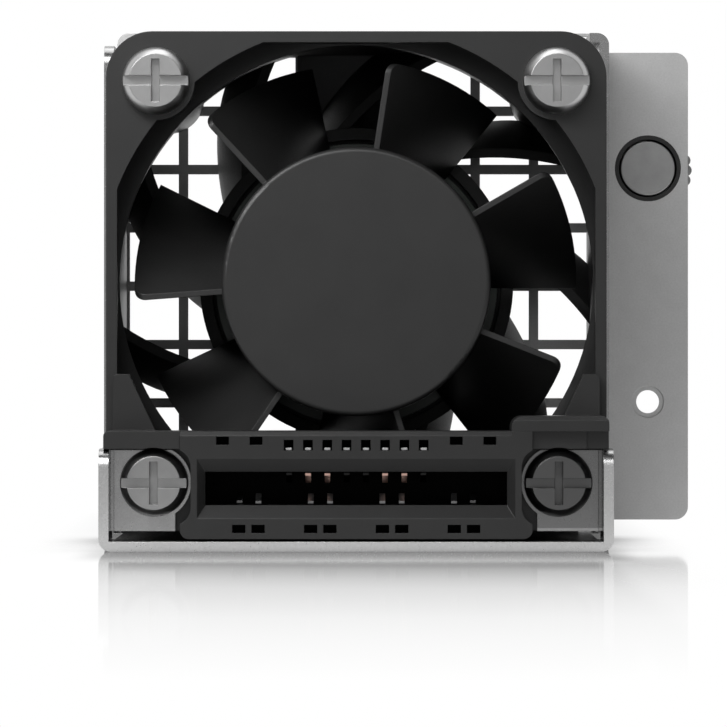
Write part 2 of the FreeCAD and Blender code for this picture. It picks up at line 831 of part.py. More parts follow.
def make_stator_ring():
    """The motor cup and its ring of swept vanes, as a body on the fan's axis."""
    body = new_body("vane_ring", z="axis_height")
    profile = draw(body_sketch(body, "cup_profile", "XY_Plane"), [
        ("cup_radius", "cup_front", LINE),
        ("cup_radius", "cup_rear", LINE),
        ("0", "cup_rear", LINE),
        ("0", "cup_floor_front", LINE),
        ("tube_radius", "cup_floor_front", LINE),
        ("tube_radius", "cup_floor_front - cup_boss_height", LINE),
        ("cup_boss_radius", "cup_floor_front - cup_boss_height", LINE),
        ("cup_boss_radius", "cup_floor_front", LINE),
        ("cup_inner - cup_wall", "cup_floor_front", LINE),
        ("cup_inner - cup_wall", "board_rear", LINE),
        ("cup_inner", "board_rear", LINE),
        ("cup_inner", "cup_front", LINE),
    ])
    revolve(body, "motor_cup", profile, "Y_Axis")
    depth = "(vane_rear - vane_front)"
    stations = [("vane_front", "-vane_twist * 0.5")]
    stations.append((f"vane_front + {depth} * 0.45", "vane_twist * 0.22"))
    stations.append(("vane_rear", "vane_twist * 0.5"))
    sections = []
    for number, (distance, turn) in enumerate(stations):
        sections.append(vane_section(body, f"vane_section_{number}", distance, turn))
    vane = body.newObject("PartDesign::AdditiveLoft", "vane")
    vane.Profile = sections[0]
    vane.Sections = sections[1:]
    polar(body, "vanes", vane, "vane_count", "Y_Axis")
    reach = "(half_fan + vane_sheet)"
    clip = draw(body_sketch(body, "vane_clip_profile", "XY_Plane"), [
        (f"{reach} - vane_clip", "vane_rear", LINE),
        (reach, "vane_rear - vane_clip", LINE),
        (f"{reach} + vane_clip", "vane_rear - vane_clip", LINE),
        (f"{reach} + vane_clip", "vane_rear + vane_clip", LINE),
        (f"{reach} - vane_clip", "vane_rear + vane_clip", LINE),
    ])
    groove(body, "vane_clips", clip, "Y_Axis")
    return body


def make_housing():
    whole = prism("housing_block", rounded_square("half_fan", "fan_corner"), ("0", "fan_depth"))
    wide = f"(half_fan + 1)"
    waist_y = ("fan_flange", "fan_depth - fan_flange")
    around = block("waist_block", (f"-{wide}", wide), waist_y,
                   (f"axis_height - {wide}", f"axis_height + {wide}"))
    core = [round_bar("duct_wall", "duct_outer_radius", waist_y)]
    core += at_holes("screw_lug", "lug_radius", waist_y)
    waist = cut("waist", around, fuse("waist_core", core))
    outside = cut("housing_outside", whole, waist)
    bores = at_holes("housing_bore", "screw_hole", ("-1", "fan_depth + 1"))
    duct = flow_path()
    shell = cut("housing_shell", outside, fuse("housing_voids", [duct] + bores))
    web = block("lead_web", ("-lead_web_left", "lead_web_right"),
                ("vane_rear - lead_web_sheet", "vane_rear"),
                ("axis_height + cup_radius - vane_root_sink", "axis_height + half_fan"))
    subpart("vane_ring", common("seated_vanes", fuse("ring_and_web", [make_stator_ring(), web]), duct))
    return subpart("fan_frame", shell)


# The impeller: a moulded cup with wrapped blades.


def blade_section(body, name, share, turn):
    """A blade's section at a share of its depth, turned about the axis by a share of its wrap."""
    sketch = body_sketch(body, name, "XZ_Plane", f"-(blade_front + blade_depth * {share})")
    angle = f"(blade_angle - blade_wrap * {turn}) * 1 deg"
    sketch.setExpression(".AttachmentOffset.Rotation.Angle", linked(angle))
    return draw(sketch, rectangle("hub_radius - blade_root_sink", f"blade_tip + blade_flare * {share}",
                                  "-blade_sheet / 2", "blade_sheet / 2"))


def make_impeller():
    body = new_body("impeller_body", z="axis_height")
    profile = draw(body_sketch(body, "hub_profile", "XY_Plane"), [
        ("0", "hub_setback", LINE),
        ("hub_radius - hub_edge", "hub_setback", ("hub_edge", 1)),
        ("hub_radius", "hub_setback + hub_edge", LINE),
        ("hub_radius", "hub_rear", LINE),
        ("hub_inner", "hub_rear", LINE),
        ("hub_inner", "yoke_front", LINE),
        ("0", "yoke_front", LINE),
    ])
    revolve(body, "hub", profile, "Y_Axis")
    sections = []
    for number in range(5):
        share = number / 4
        turn = share * (1.25 - 0.25 * share)
        sections.append(blade_section(body, f"blade_section_{number}", share, turn))
    blade = body.newObject("PartDesign::AdditiveLoft", "blade")
    blade.Profile = sections[0]
    blade.Sections = sections[1:]
    polar(body, "blades", blade, "blade_count", "Y_Axis")
    edge = "(blade_tip - blade_corner)"
    front = "(blade_front + blade_corner)"
    rounding = draw(body_sketch(body, "tip_rounding", "XY_Plane"), [
        (edge, "blade_front", ("blade_corner", 1)),
        ("blade_tip", front, LINE),
        ("throat_radius", front, LINE),
        ("throat_radius", "hub_setback", LINE),
        (edge, "hub_setback", LINE),
    ])
    groove(body, "tip_corners", rounding, "Y_Axis")
    return subpart("impeller", body)


# The rotor's inner pieces.


def make_rotor():
    subpart("rotor_yoke", turned("yoke_cup", [
        ("bush_radius", "yoke_front", LINE),
        ("hub_inner", "yoke_front", LINE),
        ("hub_inner", "yoke_rear", LINE),
        ("yoke_inner", "yoke_rear", LINE),
        ("yoke_inner", "yoke_front + yoke_sheet", LINE),
        ("bush_radius", "yoke_front + yoke_sheet", LINE),
    ]))
    subpart("rotor_magnet", pipe("magnet_ring", "yoke_inner", "magnet_inner",
                                 ("magnet_front", "magnet_rear")))
    subpart("shaft_bush", turned("bush", [
        ("shaft_radius", "yoke_front", LINE),
        ("bush_radius", "yoke_front", LINE),
        ("bush_radius", "yoke_front + bush_length", LINE),
        ("bush_nose_radius", "yoke_front + bush_length", LINE),
        ("bush_nose_radius", "front_bearing", LINE),
        ("shaft_radius", "front_bearing", LINE),
    ]))
    subpart("rotor_shaft", round_bar("shaft", "shaft_radius", ("yoke_front", "shaft_end")))
    subpart("shaft_clip", pipe("clip", "clip_radius", "shaft_radius",
                               ("clip_front", "clip_front + clip_sheet")))
    races = []
    for start in ("front_bearing", "rear_bearing"):
        races.append(pipe("inner_race", "race_inner", "shaft_radius", (start, f"{start} + bearing_width")))
    subpart("bearing_inner_races", group("inner_races", races))


# The stator and what holds it.


def make_bearing_tube():
    subpart("bearing_tube", turned("tube", [
        ("tube_bore", "tube_start", LINE),
        ("tube_radius", "tube_start", LINE),
        ("tube_radius", "cup_floor_front", LINE),
        ("tube_bore", "cup_floor_front", LINE),
        ("tube_bore", "spring_front", LINE),
        ("tube_land", "spring_front", LINE),
        ("tube_land", "front_bearing + bearing_width", LINE),
        ("tube_bore", "front_bearing + bearing_width", LINE),
    ]))


def make_bearings():
    outer, shields, balls = [], [], []
    for start in ("front_bearing", "rear_bearing"):
        end = f"({start} + bearing_width)"
        outer.append(pipe("outer_race", "tube_bore", "race_outer", (start, end)))
        for low, high in ((start, f"{start} + shield"), (f"{end} - shield", end)):
            shields.append(pipe("shield", "race_outer", "race_inner + thread_fit", (low, high)))
        for number in range(int(SIZES["ball_count"])):
            ball = doc.addObject("Part::Sphere", "ball")
            bind(ball, Radius="ball_radius")
            angle = f"({number} * 360 / ball_count) * 1 deg"
            pitch = "(race_inner + race_outer) / 2"
            balls.append(move(ball, f"{pitch} * cos({angle})", f"{start} + bearing_width / 2",
                              f"axis_height + {pitch} * sin({angle})"))
    subpart("bearing_outer_races", group("outer_races", outer))
    subpart("bearing_shields", group("bearing_shield_set", shields))
    subpart("bearing_balls", group("ball_set", balls))


def coil_spring(node, start, length, mean_radius, wire, turns, x="0", z="axis_height"):
    """A helical wire spring along Y, between two seats."""
    body = new_body(node + "_body", x, "0", z)
    sketch = ring(body_sketch(body, node + "_wire", "XY_Plane"), mean_radius, f"{start} + {wire} / 2",
                  f"{wire} / 2")
    helix = body.newObject("PartDesign::AdditiveHelix", node + "_helix")
    helix.Profile = sketch
    helix.ReferenceAxis = (origin_of(body, "Y_Axis"), [""])
    helix.Mode = "height-turns-angle"
    bind(helix, Height=f"{length} - {wire}", Turns=turns)
    return subpart(node, body)


def stator_slice(name, start, end):
    """The four-pole section of the core and of its insulators."""
    y = (start, end)
    ring_part = pipe(name + "_windows", "window_outer", "core_yoke_radius", y)
    half = "core_arm / 2"
    span = "core_radius"
    arms = fuse(name + "_arms", [
        block(name + "_arm_across", (f"-{span}", span), y,
              (f"axis_height - {half}", f"axis_height + {half}")),
        block(name + "_arm_up", (f"-{half}", half), y, (f"axis_height - {span}", f"axis_height + {span}")),
    ])
    windows = cut(name + "_winding_space", ring_part, arms)
    slots = []
    for angle in (45, 135):
        slot = doc.addObject("Part::Box", name + "_slot")
        bind(slot, Length="2 * core_radius + 2", Width=f"{end} - ({start})", Height="core_slot")
        slot.Placement = Placement(Vector(), Rotation(Vector(0, 1, 0), angle))
        reach = "(core_radius + 1)"
        turn = f"{angle} deg"
        move(slot, f"-{reach} * cos({turn}) - core_slot / 2 * sin({turn})", start,
             f"axis_height + {reach} * sin({turn}) - core_slot / 2 * cos({turn})")
        slots.append(slot)
    openings = cut(name + "_openings", fuse(name + "_slots", slots),
                   round_bar(name + "_yoke", "core_yoke_radius", (f"{start} - 1", f"{end} + 1")))
    disc = pipe(name + "_disc", "core_radius", "tube_radius", y)
    return cut(name, disc, fuse(name + "_voids", [windows, openings]))


def make_stator():
    subpart("stator_core", stator_slice("core", "core_start", "core_end"))
    front = stator_slice("front_insulator", "core_start - insulator", "core_start")
    rear = stator_slice("rear_insulator", "core_end", "core_end + insulator")
    subpart("stator_insulators", group("insulators", [front, rear]))
    coils = []
    low = "(core_yoke_radius + coil_slack)"
    high = "(window_outer - core_shoe / 2)"
    inner = "(core_arm / 2)"
    outer = "(core_arm / 2 + coil_build)"
    y_in = ("core_start - insulator", "core_end + insulator")
    y_out = ("core_start - insulator - coil_build", "core_end + insulator + coil_build")
    for sign in ("-1", "1"):
        far = [f"{sign} * {low}", f"{sign} * {high}"]
        if sign == "-1":
            far.reverse()
        along = ("axis_height + " + far[0], "axis_height + " + far[1])
        coils.append(cut("coil",
                         block("coil_outside", far, y_out,
                               (f"axis_height - {outer}", f"axis_height + {outer}")),
                         block("coil_inside", far, y_in,
                               (f"axis_height - {inner}", f"axis_height + {inner}"))))
        coils.append(cut("coil",
                         block("coil_outside", (f"-{outer}", outer), y_out, along),
                         block("coil_inside", (f"-{inner}", inner), y_in, along)))
    subpart("coil_windings", group("coils", coils))
    subpart("motor_board", pipe("board", "board_radius", "tube_radius + board_edge_gap",
                                ("board_front", "board_rear")))
    half = "(chip_side / 2)"
    middle = "((cup_boss_radius + cup_inner - cup_wall) / 2)"
    sensor = block("sensor", ("yoke_inner - 2 * sensor_height", "yoke_inner"),
                   ("board_front - sensor_height", "board_front"),
                   ("axis_height - sensor_height", "axis_height + sensor_height"))
    chip = block("driver_chip", (f"-{half}", half), ("board_rear", "board_rear + chip_height"),
                 (f"axis_height - {middle} - {half}", f"axis_height - {middle} + {half}"))
    capacitor = round_bar("capacitor", "chip_height", ("board_rear", "board_rear + chip_side"),
                          f"-{middle}", "axis_height")
    subpart("board_parts", group("board_components", [sensor, chip, capacitor]))


# Screws and the nuts that they end in.


def screw(name, seat, row):
    """A pan-head screw at the left hole of a row: a domed head with a cross recess and a slot."""
    face = f"({seat} - head_height)"
    head = turned(name + "_head", [
        ("0", face, LINE),
        ("head_diameter * 0.39", face, ("head_height * 1.2", 1)),
        ("head_diameter / 2", f"{seat} - head_rim / 2", LINE),
        ("head_diameter / 2", seat, LINE),
        ("0", seat, LINE),
    ], "-half_hole", row)
    shank = round_bar(name + "_shank", "screw_radius", (seat, "panel_rear + nut_height + screw_end"),
                      "-half_hole", row)
    deep = (f"{face} - 1", f"{face} + slot_depth")
    slot = block(name + "_slot", ("-half_hole - head_diameter", "-half_hole + head_diameter"), deep,
                 (f"{row} - slot_width / 2", f"{row} + slot_width / 2"))
    upright = block(name + "_cross", ("-half_hole - cross_width / 2", "-half_hole + cross_width / 2"),
                    (f"{face} - 1", f"{face} + slot_depth * 1.3"),
                    (f"{row} - cross_length / 2", f"{row} + cross_length / 2"))
    return cut(name, fuse(name + "_blank", [head, shank]), fuse(name + "_recess", [slot, upright]))


def make_screws():
    for node, seat, row in (("upper_screws", "0", "high_hole"), ("lower_screws", "-tab_front", "low_hole")):
        left = screw(node + "_left", seat, row)
        subpart(node, group(node + "_pair", [left, mirrored(node + "_right", left)]))
    nuts = []
    for row in ("low_hole", "high_hole"):
        for side in ("-half_hole", "half_hole"):
            nuts.append(turned("nut", [
                ("screw_radius + thread_fit", "fan_depth", LINE),
                ("nut_pilot", "fan_depth", LINE),
                ("nut_pilot", "panel_rear", LINE),
                ("nut_radius", "panel_rear", LINE),
                ("nut_radius", "panel_rear + nut_height", LINE),
                ("screw_radius + thread_fit", "panel_rear + nut_height", LINE),
            ], side, row))
    subpart("clinch_nuts", group("nuts", nuts))


# The connector: a carrier across the tray, the housing that it holds and the leaf contacts.


def rail(name, corners, x):
    """An outline in Y and Z, extruded along X."""
    sketch = draw(free_sketch(name + "_outline", "YZ_Plane", x=x[0]), corners)
    solid = doc.addObject("Part::Extrusion", name)
    solid.Base = sketch
    solid.Dir = Vector(1, 0, 0)
    solid.Solid = True
    bind(solid, LengthFwd=f"{x[1]} - ({x[0]})")
    return solid


def front_edge(name, face, top, x):
    """What a bevel removes from a level front edge."""
    return rail(name, [
        (face, f"{top} - front_bevel", LINE),
        (f"{face} + front_bevel", top, LINE),
        (f"{face} + front_bevel", f"{top} + front_bevel", LINE),
        (f"{face} - front_bevel", f"{top} + front_bevel", LINE),
        (f"{face} - front_bevel", f"{top} - front_bevel", LINE),
    ], x)


def screw_notches(name, y):
    """The rounded notch at each lower screw, open to the side."""
    side = "(half_fan + 1)"
    low = "notch_base"
    high = "bar_base"
    left = prism(name, [
        (f"-{side}", low, LINE),
        ("-(notch_half + notch_corner)", low, ("notch_corner", 1)),
        ("-notch_half", f"{low} + notch_corner", LINE),
        ("-notch_half", f"{high} - notch_corner", ("notch_corner", 1)),
        ("-(notch_half + notch_corner)", high, LINE),
        (f"-{side}", high, LINE),
    ], y)
    return [left, mirrored(name + "_right", left)]


def make_carrier():
    wide = "(front_inner - carrier_side_gap)"
    top_wide = "(half_fan - rear_wall_gap / 2)"
    plate = block("carrier_plate", (f"-{wide}", wide), ("-carrier_depth", "0"), ("carrier_base", "bar_base"))
    bar = prism("carrier_bar", [
        (f"-{top_wide}", "bar_base", LINE),
        (top_wide, "bar_base", LINE),
        (top_wide, "bar_top", LINE),
        (f"bar_corner - {top_wide}", "bar_top", ("bar_corner", 1)),
        (f"-{top_wide}", "bar_top - bar_corner", LINE),
    ], ("-bar_reach", "0"))
    ear_left = "(half_fan - front_wall_inset - rear_wall_gap)"
    ear = prism("left_ear", [
        (f"-{ear_left}", "bar_top", LINE),
        (f"-({ear_left} - ear_root)", "bar_top", LINE),
        (f"-({ear_left} - ear_top)", "bar_top + ear_rise", LINE),
        (f"bar_corner - {ear_left}", "bar_top + ear_rise", ("bar_corner", 1)),
        (f"-{ear_left}", "bar_top + ear_rise - bar_corner", LINE),
    ], ("-ear_sheet", "0"))
    raised_left = f"({top_wide} - block_reach)"
    raised = prism("raised_block", [
        (raised_left, "bar_top", LINE),
        (top_wide, "bar_top", LINE),
        (top_wide, "block_top - block_edge", ("block_edge", 1)),
        (f"{top_wide} - block_edge", "block_top", LINE),
        (f"{raised_left} + block_corner", "block_top", ("block_corner", 1)),
        (raised_left, "block_top - block_corner", LINE),
    ], ("-housing_reach", "0"))
    raised = cut("bevelled_block", raised, front_edge("block_bevel", "-housing_reach", "block_top",
                                                      (raised_left, top_wide)))
    body = fuse("carrier_blank", [plate, bar, ear, mirrored("right_ear", ear), raised])
    fit = "housing_fit"
    front_gap = block("housing_bay", ("-housing_half", "housing_half"), ("-bar_reach - 1", "-carrier_depth"),
                      ("0", "bar_top"))
    plug_gap = block("plug_bay", (f"-(housing_plug_half + {fit})", f"housing_plug_half + {fit}"),
                     ("-carrier_depth - 1", "1"),
                     (f"housing_base + housing_plug_inset - {fit}",
                      f"bar_base - housing_plug_inset + {fit}"))
    near = block("near_recess", ("housing_half", "half_fan + 1"),
                 ("-bar_reach - 1", "-housing_reach + recess_near"), ("bar_base - 1", "bar_top"))
    far = block("far_recess", (f"{top_wide} - recess_far_width", "half_fan + 1"),
                ("-bar_reach - 1", "-housing_reach + recess_far"), ("bar_base - 1", "bar_top"))
    bores = at_holes("carrier_bore", "screw_hole", ("-carrier_depth - 1", "1"), ("low_hole",))
    heads = at_holes("head_relief", "head_diameter / 2 + housing_fit",
                     ("-bar_reach - 1", "-tab_front"), ("low_hole",))
    voids = fuse("carrier_voids", [front_gap, plug_gap, near, far] + bores + heads)
    return subpart("connector_carrier", cut("carrier", body, voids))


def contact_places(kind):
    """Where the contacts of a row lie across the connector."""
    if kind == "upper":
        middle = (SIZES["contact_count"] - 1) / 2
        return [f"contact_pitch * ({number} - {middle})" for number in range(SIZES["contact_count"])]
    places = []
    for pair in (-1.5, -0.5, 0.5, 1.5):
        for side in (-0.5, 0.5):
            places.append(f"lower_pair_pitch * {pair} + contact_pitch * {side}")
    return places


def window(name, across, height, width, tall):
    return block(name, (f"{across} - {width} / 2", f"{across} + {width} / 2"),
                 ("-housing_reach - 1", "-housing_reach + window_depth"),
                 (f"{height} - {tall} / 2", f"{height} + {tall} / 2"))


def make_connector():
    upright = ("housing_base", "bar_top")
    front = prism("housing_front", [
        ("-housing_half", "bar_top", LINE),
        ("-housing_half", "housing_base + housing_corner", ("housing_corner", 1)),
        ("housing_corner - housing_half", "housing_base", LINE),
        ("housing_half - housing_corner", "housing_base", ("housing_corner", 1)),
        ("housing_half", "housing_base + housing_corner", LINE),
        ("housing_half", "bar_top", LINE),
    ], ("-housing_reach", "-tab_front - housing_fit"))
    raised_left = "(half_fan - rear_wall_gap / 2 - block_reach)"
    front = cut("bevelled_front", front, front_edge("front_edge_bevel", "-housing_reach", "bar_top",
                                                    ("-housing_half", raised_left)))
    between_tabs = "(half_hole - tab_radius - housing_fit)"
    waist = block("housing_waist", (f"-{between_tabs}", between_tabs),
                  ("-tab_front - 2 * housing_fit", "-carrier_depth"), upright)
    plug = block("housing_plug", ("-housing_plug_half", "housing_plug_half"),
                 ("-carrier_depth - housing_fit", "-housing_fit"),
                 ("housing_base + housing_plug_inset", "bar_base - housing_plug_inset"))
    voids = screw_notches("screw_notch", ("-housing_reach - 1", "1"))
    voids.append(block("mouth", ("-mouth_half", "mouth_half"), ("-housing_reach - 1", "-mouth_rear"),
                       ("mouth_bottom", "mouth_top")))
    bevel = doc.addObject("Part::Wedge", "mouth_bevel")
    wide = "(mouth_half + bevel_side)"
    bind(bevel, Xmin=f"-{wide}", Xmax=wide, Zmin="mouth_bottom - bevel_rise", Zmax="mouth_top + bevel_rise",
         X2min="-mouth_half", X2max="mouth_half", Z2min="mouth_bottom", Z2max="mouth_top",
         Ymin="-housing_reach", Ymax="-housing_reach + bevel_depth")
    voids.append(bevel)
    for place in contact_places("upper"):
        voids.append(window("contact_window", place, "upper_window", "window_width", "upper_window_height"))
    for side in ("-1", "1"):
        for step in ("-0.5", "0.5"):
            voids.append(window("power_window", f"{side} * power_centre + {step} * power_spacing",
                                "power_window", "power_window_width", "window_height"))
    for place in contact_places("lower"):
        voids.append(window("lower_window", place, "lower_window", "lower_window_width", "window_height"))
    subpart("connector_housing", cut("housing", fuse("housing_blank", [front, waist, plug]),
                                     fuse("housing_voids_set", voids)))


LONG_CONTACTS = {"upper": (1, 2, 5, 6), "lower": (1, 2, 3, 4, 5, 6)}


def leaf(kind, place, wall, sign, front):
    """A bowed leaf along a wall of the mouth; sign points from the wall into the mouth."""
    rear = "-mouth_rear"
    level = f"({wall} + {sign} * contact_setback / 4)"
    bowed = f"({wall} + {sign} * contact_bow)"
    step = f"{sign} * contact_sheet"
    knee = f"({front} + contact_knee)"
    return rail(kind + "_leaf", [
        (rear, level, LINE),
        (rear, f"{level} + {step}", LINE),
        (knee, f"{bowed} + {step}", LINE),
        (front, f"{level} + {step}", LINE),
        (front, level, LINE),
        (knee, bowed, LINE),
    ], (f"{place} - contact_width / 2", f"{place} + contact_width / 2"))


def make_contacts():
    for node, kind, wall, sign in (("upper_contacts", "upper", "mouth_top", "-1"),
                                   ("lower_contacts", "lower", "mouth_bottom", "1")):
        leaves = []
        for number, place in enumerate(contact_places(kind)):
            front = "-contact_front"
            if number not in LONG_CONTACTS[kind]:
                front = "-(contact_front - contact_recess)"
            leaves.append(leaf(kind, place, wall, sign, front))
        subpart(node, group(kind + "_leaves", leaves))


# The captive thumbscrew in the flange.


def make_thumbscrew():
    at = ("knob_across", "knob_height")
    subpart("thumbscrew_ferrule", turned("ferrule", [
        ("ferrule_bore", "fan_depth", LINE),
        ("ferrule_seat", "fan_depth", LINE),
        ("ferrule_seat", "panel_rear", LINE),
        ("ferrule_radius", "panel_rear", LINE),
        ("ferrule_radius", "return_front", LINE),
        ("ferrule_sleeve", "return_front", LINE),
        ("ferrule_sleeve", "ferrule_rear", LINE),
        ("ferrule_bore", "ferrule_rear", LINE),
    ], *at))
    body = new_body("knob_body", at[0], "0", at[1])
    profile = draw(body_sketch(body, "knob_profile", "XY_Plane"), [
        ("shank_radius", "knob_front", LINE),
        ("knob_core - knob_chamfer", "knob_front", LINE),
        ("knob_core", "knob_front + knob_chamfer", LINE),
        ("knob_core", "knob_rear - knob_chamfer", LINE),
        ("knob_core - knob_chamfer", "knob_rear", LINE),
        ("shank_radius", "knob_rear", LINE),
    ])
    revolve(body, "knob_turning", profile, "Y_Axis")
    lobe = ring(body_sketch(body, "lobe_ring", "XZ_Plane", "-(knob_front + knob_chamfer)"),
                "lobe_centre", "0", "lobe_radius")
    rib = pad(body, "lobe", lobe, "knob_length - 2 * knob_chamfer")
    polar(body, "knurl", rib, "lobe_count", "Y_Axis")
    hollow = ring(body_sketch(body, "hollow_ring", "XZ_Plane", "-knob_front"), "0", "0", "knob_bore")
    pocket(body, "knob_hollow", hollow, "knob_length - knob_cap", reverse=False)
    subpart("thumbscrew_knob", body)
    subpart("thumbscrew_shank", round_bar("thumb_shank", "shank_radius", ("fan_depth", "knob_rear"), *at))
    subpart("thumbscrew_washer", pipe("thumb_washer", "knob_bore - washer_fit", "shank_radius + washer_fit",
                                      ("washer_front", "cap_front"), *at))
    mean = "((ferrule_sleeve + knob_bore) / 2)"
    coil_spring("thumbscrew_spring", "return_front", "washer_front - return_front", mean, "return_wire",
                "return_turns", *at)


make_tray()
make_panel()
make_housing()
make_impeller()
make_rotor()
make_bearing_tube()
make_bearings()
coil_spring("preload_spring", "spring_front", "spring_seat", "((tube_land + tube_bore) / 2)", "preload_wire",
            "preload_turns")
make_stator()
make_screws()
make_carrier()
make_connector()
make_contacts()
make_thumbscrew()
doc.recompute()

faults = [thing.Name for thing in doc.Objects if {"Invalid", "Error"} & set(thing.State)]
for node, thing in SUBPARTS.items():
    if thing.Shape.isNull() or not thing.Shape.isValid():
        faults.append(node)
if faults:
    raise RuntimeError("not built: " + ", ".join(faults))

os.makedirs("parts", exist_ok=True)
for node, thing in SUBPARTS.items():
    thing.Shape.exportStep(f"parts/{node}.step")
    box = thing.Shape.BoundBox
    print(f"{node}: {len(thing.Shape.Solids)} solids, {thing.Shape.Volume:.1f} mm3, "
          f"X {box.XMin:.2f} {box.XMax:.2f}, Y {box.YMin:.2f} {box.YMax:.2f}, "
          f"Z {box.ZMin:.2f} {box.ZMax:.2f}")
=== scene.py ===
import bpy
import math
import numpy as np
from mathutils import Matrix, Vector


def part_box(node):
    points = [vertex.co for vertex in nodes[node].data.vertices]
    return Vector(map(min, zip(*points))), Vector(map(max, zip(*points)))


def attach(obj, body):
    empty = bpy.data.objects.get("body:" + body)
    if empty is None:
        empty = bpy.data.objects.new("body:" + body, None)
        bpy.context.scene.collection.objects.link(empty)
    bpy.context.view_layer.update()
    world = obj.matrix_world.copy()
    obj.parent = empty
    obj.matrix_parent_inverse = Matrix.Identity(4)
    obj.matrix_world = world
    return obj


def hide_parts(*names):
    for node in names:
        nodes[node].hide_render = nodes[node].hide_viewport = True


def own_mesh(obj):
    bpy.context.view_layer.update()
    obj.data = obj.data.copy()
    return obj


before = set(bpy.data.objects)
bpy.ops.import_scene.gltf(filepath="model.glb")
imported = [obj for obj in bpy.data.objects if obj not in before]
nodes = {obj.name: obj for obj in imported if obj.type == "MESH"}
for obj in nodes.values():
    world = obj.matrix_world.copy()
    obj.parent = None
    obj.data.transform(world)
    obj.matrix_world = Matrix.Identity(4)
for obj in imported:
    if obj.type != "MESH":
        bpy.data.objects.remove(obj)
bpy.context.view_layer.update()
print("loaded", len(nodes), "nodes")

scene = bpy.context.scene
scene.view_settings.view_transform = "Standard"


# node trees: short helpers that the floor, the studio and the finishes share

def treeOf(owner):
    owner.use_nodes = True
    owner.node_tree.nodes.clear()
    return owner.node_tree


def addNode(tree, kind, inputs=None, **settings):
    node = tree.nodes.new(kind)
    for key, value in settings.items():
        setattr(node, key, value)
    for key, value in (inputs or {}).items():
        if isinstance(value, bpy.types.NodeSocket):
            tree.links.new(value, node.inputs[key])
        else:
            node.inputs[key].default_value = value
    return node


def mathOf(tree, operation, *values):
    inputs = dict(enumerate(values))
    return addNode(tree, "ShaderNodeMath", inputs, operation=operation).outputs[0]


def productOf(tree, first, *others):
    for other in others:
        first = mathOf(tree, "MULTIPLY", first, other)
    return first


def spanOf(tree, value, source, target=(0.0, 1.0), curve="LINEAR"):  # source is carried to target, and held past it
    inputs = {"Value": value, "From Min": source[0], "From Max": source[1], "To Min": target[0], "To Max": target[1]}
    return addNode(tree, "ShaderNodeMapRange", inputs, interpolation_type=curve).outputs["Result"]


def softSpan(tree, value, source, target=(0.0, 1.0)):
    return spanOf(tree, value, source, target, "SMOOTHSTEP")


def rampOf(tree, factor, stops):
    node = addNode(tree, "ShaderNodeValToRGB", {"Fac": factor})
    ramp = node.color_ramp
    while len(ramp.elements) < len(stops):
        ramp.elements.new(0.5)
    for element, (place, tone) in zip(ramp.elements, stops):
        element.position = place
        element.color = (*tone, 1)
    return node.outputs["Color"]


def grey(level):
    return (level, level, level)


def whiteSeen(tree):  # 1 for rays from the camera, a gloss or glass, else 0
    rays = addNode(tree, "ShaderNodeLightPath").outputs
    either = mathOf(tree, "MAXIMUM", rays["Is Camera Ray"], rays["Is Glossy Ray"])
    return mathOf(tree, "MAXIMUM", either, rays["Is Transmission Ray"])


# camera: level, a little to the right of the fan's axis, looking along the air flow

cameraSettings = {
    "place": (0.000575, -0.4545, 0.01484),
    "lens": 281.6,
    "sensor": 36.0,
    "clip": (0.01, 20),
}


def makeCamera(s):
    data = bpy.data.cameras.new("studioCamera")
    data.lens = s["lens"]
    data.sensor_width = s["sensor"]
    data.clip_start, data.clip_end = s["clip"]
    camera = bpy.data.objects.new("studioCamera", data)
    scene.collection.objects.link(camera)
    camera.location = s["place"]
    camera.rotation_euler = (math.radians(90), 0, 0)
    scene.camera = camera


makeCamera(cameraSettings)
print("camera set")


# floor: a white sheet with a gloss that dies away from the module, and pure white further off
# a pair is (where it starts, where it ends), in metres, unless a note says otherwise

floorSettings = {
    "size": 6.0,
    "centre": (0.004, 0.012, 0.0),  # distances from the module are taken from here
    "tone": 0.40,
    "lift": 0.65,  # the sheet's own brightness, as the camera, glosses and glass see it
    "contactReach": 0.011,
    "contactSky": (0.45, 0.97),  # share of open sky where the contact shade is full, and where it ends
    "contactTone": 0.38,
    "underAhead": (-0.034, -0.012),
    "underAbreast": (0.0225, 0.0195),
    "underBehind": (0.012, 0.000),
    "underDepth": 0.85,
    "mirrorAhead": (-0.015, -0.07),
    "mirrorFront": 0.45,  # share of the floor's brightness that a gloss sees far ahead
    "white": (0.045, 0.110),
    "beside": (0.0185, 0.0275),
    "side": (0.0175, 0.0200),
    "sideLoss": 0.30,
    "gloss": [(0.0, 0.70), (0.25, 0.68), (0.29, 0.57), (0.375, 0.41), (0.46, 0.28), (0.54, 0.21),
              (0.675, 0.105), (0.80, 0.058), (1.0, 0.0)],
    "glossReach": 0.2,
    "glossBack": (0.000, 0.018),
    "glossBackShare": 0.10,
    "roughness": 0.05,
}


